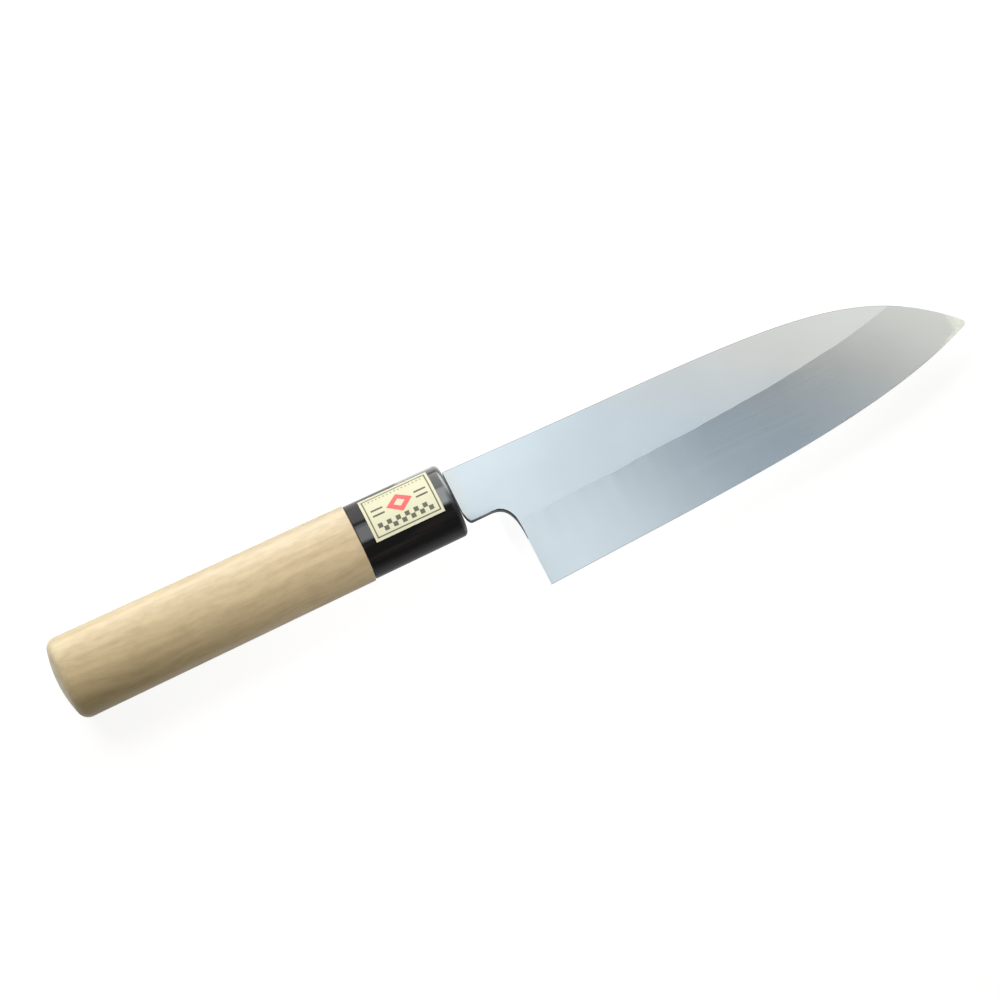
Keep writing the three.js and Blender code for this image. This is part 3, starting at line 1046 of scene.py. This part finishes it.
def build_floor():
    """Floor that keeps the knife's shadow and glows white where it is seen."""
    mesh = bmesh.new()
    bmesh.ops.create_grid(mesh, x_segments=1, y_segments=1, size=FLOOR_SIZE / 2)
    floor = to_object("floor", mesh)
    floor.location.z = cad_low.z - FLOOR_DROP * MM
    material = bpy.data.materials.new("floor")
    material.use_nodes = True
    tree = material.node_tree
    tree.nodes.remove(tree.nodes["Principled BSDF"])
    diffuse = tree.nodes.new("ShaderNodeBsdfDiffuse")
    diffuse.inputs["Color"].default_value = FLOOR_COLOUR
    glow = tree.nodes.new("ShaderNodeEmission")
    strength = tree.nodes.new("ShaderNodeMath")
    strength.operation = "MULTIPLY"
    strength.inputs[1].default_value = FLOOR_GLOW
    tree.links.new(seen_directly(tree), strength.inputs[0])
    tree.links.new(strength.outputs[0], glow.inputs["Strength"])
    both = tree.nodes.new("ShaderNodeAddShader")
    tree.links.new(diffuse.outputs[0], both.inputs[0])
    tree.links.new(glow.outputs[0], both.inputs[1])
    tree.links.new(both.outputs[0], tree.nodes["Material Output"].inputs["Surface"])
    floor.data.materials.append(material)


# Lamps and cards. They stand at points of the drawing, in millimetres, and their sizes are in metres.

LAMP_WHITE = (1.0, 0.985, 0.96)
STRIP_WHITE = (0.95, 1.0, 1.02)
COOL_WHITE = (0.8, 0.95, 1.1)
BLACK = (0.03, 0.03, 0.03, 1)
DARK_GREY = (0.2, 0.2, 0.2, 1)
DARK_BLUE = (0.015, 0.055, 0.1, 1)
CARD_ROUGHNESS = 0.9

GRIP_MIDDLE = (-80, 0, 0)
JOINT = (5, 0, 0)
KEY_X = 402
KEY_DISTANCE = 1000
KEY_ANGLE = math.radians(60.5)
SPOT_HALF_ANGLE = math.radians(10)
SPOT_SOFTNESS = 0.08
BEVEL_CARD_TURN = math.radians(33.8)
EDGE_CARD_TURN = math.radians(-11)


def facing(at, aim):
    """Placement at a point with its Y up and its -Z towards an aim, or straight down without one."""
    location = place(*at)
    towards = place(*aim) - location if aim else Vector((0, 0, -1))
    return Matrix.Translation(location) @ towards.to_track_quat("-Z", "Y").to_matrix().to_4x4()


def build_softbox(name, at, aim, size, radiance, colour=LAMP_WHITE):
    """Evenly bright rectangle of light of a given radiance."""
    width, height = size
    data = bpy.data.lights.new(name, "AREA")
    data.shape = "RECTANGLE"
    data.size = width
    data.size_y = height
    data.energy = radiance * math.pi * width * height
    data.color = colour
    lamp = bpy.data.objects.new(name, data)
    lamp.matrix_world = facing(at, aim)
    bpy.context.scene.collection.objects.link(lamp)
    return lamp


def shine_on(lamp, piece, state="INCLUDE"):
    """Lets a lamp reach one piece alone or, with EXCLUDE, all but that piece, as flags do in a studio."""
    receivers = bpy.data.collections.new(lamp.name + "_receivers")
    receivers.objects.link(bpy.data.objects[piece])
    receivers.collection_objects[0].light_linking.link_state = state
    lamp.light_linking.receiver_collection = receivers


def build_fill(name, at, size, radiance, colour):
    """Softbox for dull surfaces, turned to the grip: mirrors don't see it."""
    lamp = build_softbox(name, at, GRIP_MIDDLE, size, radiance, colour)
    lamp.visible_glossy = False
    return lamp


def build_sheen(name, at, size, radiance):
    """Softbox that only adds gloss to the wood."""
    lamp = build_softbox(name, at, GRIP_MIDDLE, size, radiance)
    lamp.visible_diffuse = False
    shine_on(lamp, GRIP)


def build_strip(name, low, high, lift, radiance):
    """Small softbox between two corners of the drawing that adds gloss to the ferrule alone."""
    middle = (Vector(low) + Vector(high)) / 2
    size = (Vector(high) - Vector(low)) * MM
    lamp = build_softbox(name, (middle.x, middle.y, lift), None, size, radiance, STRIP_WHITE)
    lamp.visible_camera = False
    lamp.visible_diffuse = False
    shine_on(lamp, RING)


def build_spot(name, at, aim, power):
    """Spot with a soft edge for dull surfaces: mirrors don't see it."""
    data = bpy.data.lights.new(name, "SPOT")
    data.spot_size = 2 * SPOT_HALF_ANGLE
    data.spot_blend = 1
    data.shadow_soft_size = SPOT_SOFTNESS
    data.energy = power
    data.color = LAMP_WHITE
    lamp = bpy.data.objects.new(name, data)
    lamp.matrix_world = facing(at, aim)
    lamp.visible_glossy = False
    bpy.context.scene.collection.objects.link(lamp)


def build_card(name, at, size, aim=None, colour=BLACK, turn=0, glow=0):
    """Card, dark or glowing, that is seen only as a mirror image in the pieces."""
    mesh = bmesh.new()
    bmesh.ops.create_grid(mesh, x_segments=1, y_segments=1, size=0.5)
    bmesh.ops.scale(mesh, vec=(*size, 1), verts=mesh.verts)
    bmesh.ops.rotate(mesh, matrix=Matrix.Rotation(turn, 3, "Z"), verts=mesh.verts)
    card = to_object(name, mesh)
    card.matrix_world = facing(at, aim)
    card.visible_camera = False
    card.visible_diffuse = False
    card.visible_shadow = False
    material = bpy.data.materials.new(name)
    material.use_nodes = True
    shader = material.node_tree.nodes["Principled BSDF"]
    shader.inputs["Base Color"].default_value = colour
    shader.inputs["Roughness"].default_value = CARD_ROUGHNESS
    shader.inputs["Specular IOR Level"].default_value = 0
    shader.inputs["Emission Color"].default_value = colour
    shader.inputs["Emission Strength"].default_value = glow
    card.data.materials.append(material)


def light_dull_pieces():
    """Light of the wood and the label. The key is kept off the blade, which would mirror it."""
    key_at = (KEY_X, KEY_DISTANCE * math.sin(KEY_ANGLE), KEY_DISTANCE * math.cos(KEY_ANGLE))
    key = build_softbox("key", key_at, (KEY_X, 0, 0), size=(0.89, 0.8), radiance=4.6)
    shine_on(key, BLADE, "EXCLUDE")
    build_fill("rear_softbox", (-300, 700, 700), size=(0.6, 0.6), radiance=6.3, colour=LAMP_WHITE)
    low = build_fill("low_softbox", (-500, 900, 200), size=(0.6, 0.6), radiance=4.8, colour=COOL_WHITE)
    shine_on(low, GRIP)
    build_sheen("wood_sheen", (-20, 970, 260), size=(1.2, 0.5), radiance=5.2)
    build_sheen("butt_sheen", (-700, 700, 260), size=(0.6, 0.5), radiance=5)
    build_spot("joint_spot", (220, -420, 520), JOINT, power=18)


def light_blade():
    """What the blade mirrors beside the white world: a faint softbox, and cards that darken its bevel."""
    glow = build_softbox("blade_glow", (150, 420, 600), None, size=(0.56, 0.54), radiance=0.47)
    shine_on(glow, BLADE)
    dark = {"colour": DARK_BLUE, "glow": 0.8}
    build_card("bevel_card", (229, 128, 600), (0.141, 0.27), turn=BEVEL_CARD_TURN, **dark)
    build_card("edge_card", (208, 12, 599), (0.06, 0.105), turn=EDGE_CARD_TURN, **dark)


def light_ferrule():
    """What the ferrule mirrors: strips of light above it, and dark or glowing cards all round it."""
    build_card("front_card", (0, -850, 550), (1.8, 1.4), aim=(0, 0, 0), colour=DARK_GREY, glow=1.5)
    build_card("ferrule_card", (-28.5, -76, 30), (0.063, 0.15), glow=3)
    build_card("ferrule_gap", (-33, 16.5, 32), (0.054, 0.009))
    build_card("ferrule_shade", (-10, 110.5, 32), (0.04, 0.179), glow=45)
    build_card("wing_card", (8.5, -85, 30), (0.011, 0.13), glow=3)
    build_card("under_card", (-12, -98, -9), (0.076, 0.106), glow=9)
    build_card("near_card", (-22, -28, -9), (0.056, 0.034), glow=14)
    build_card("behind_card", (14, 160, -9), (0.052, 0.28), glow=85)
    build_card("horizon_card", (0, -151, 10.5), (0.12, 0.041), aim=(0, 0, 10.5), glow=4.5)
    build_strip("rear_strip", (-60, -3), (-14, 14), lift=28, radiance=1.9)
    build_strip("front_strip", (-14, -3), (40, 14), lift=29, radiance=2.7)
    build_strip("front_glow", (-14, -3), (40, 120), lift=30, radiance=1.9)
    build_strip("rim_glow", (10, 14), (60, 60), lift=31, radiance=4)
    build_strip("end_glow", (40, 8), (160, 120), lift=32, radiance=8)


def build_stage():
    bpy.context.scene.view_settings.view_transform = "Standard"
    build_camera()
    build_world()
    build_floor()
    light_dull_pieces()
    light_blade()
    light_ferrule()


def build_knife():
    flat = steel("steel_flat", FLAT_WITH_WARM_REFLECTION, FLAT_ROUGHNESS)
    bevel = steel("steel_bevel", BEVEL_WITH_WARM_REFLECTION, BEVEL_ROUGHNESS)
    dress(build_blade(), "blade", "blade_steel", flat, bevel, scale_and_painted_shade())
    dress(build_handle(), "handle", "handle_wood", pale_wood())
    dress(build_ferrule(), "ferrule", "ferrule_horn", black_horn())
    dress(build_seal(), "tang_seal", "seal_resin", cast_resin())
    label, middle, arcs = build_label()
    map_label(label, middle, arcs)
    dress(label, "label", "label_paper", printed_paper(label_high.x - label_low.x, arcs[-1]))


build_knife()
build_stage()
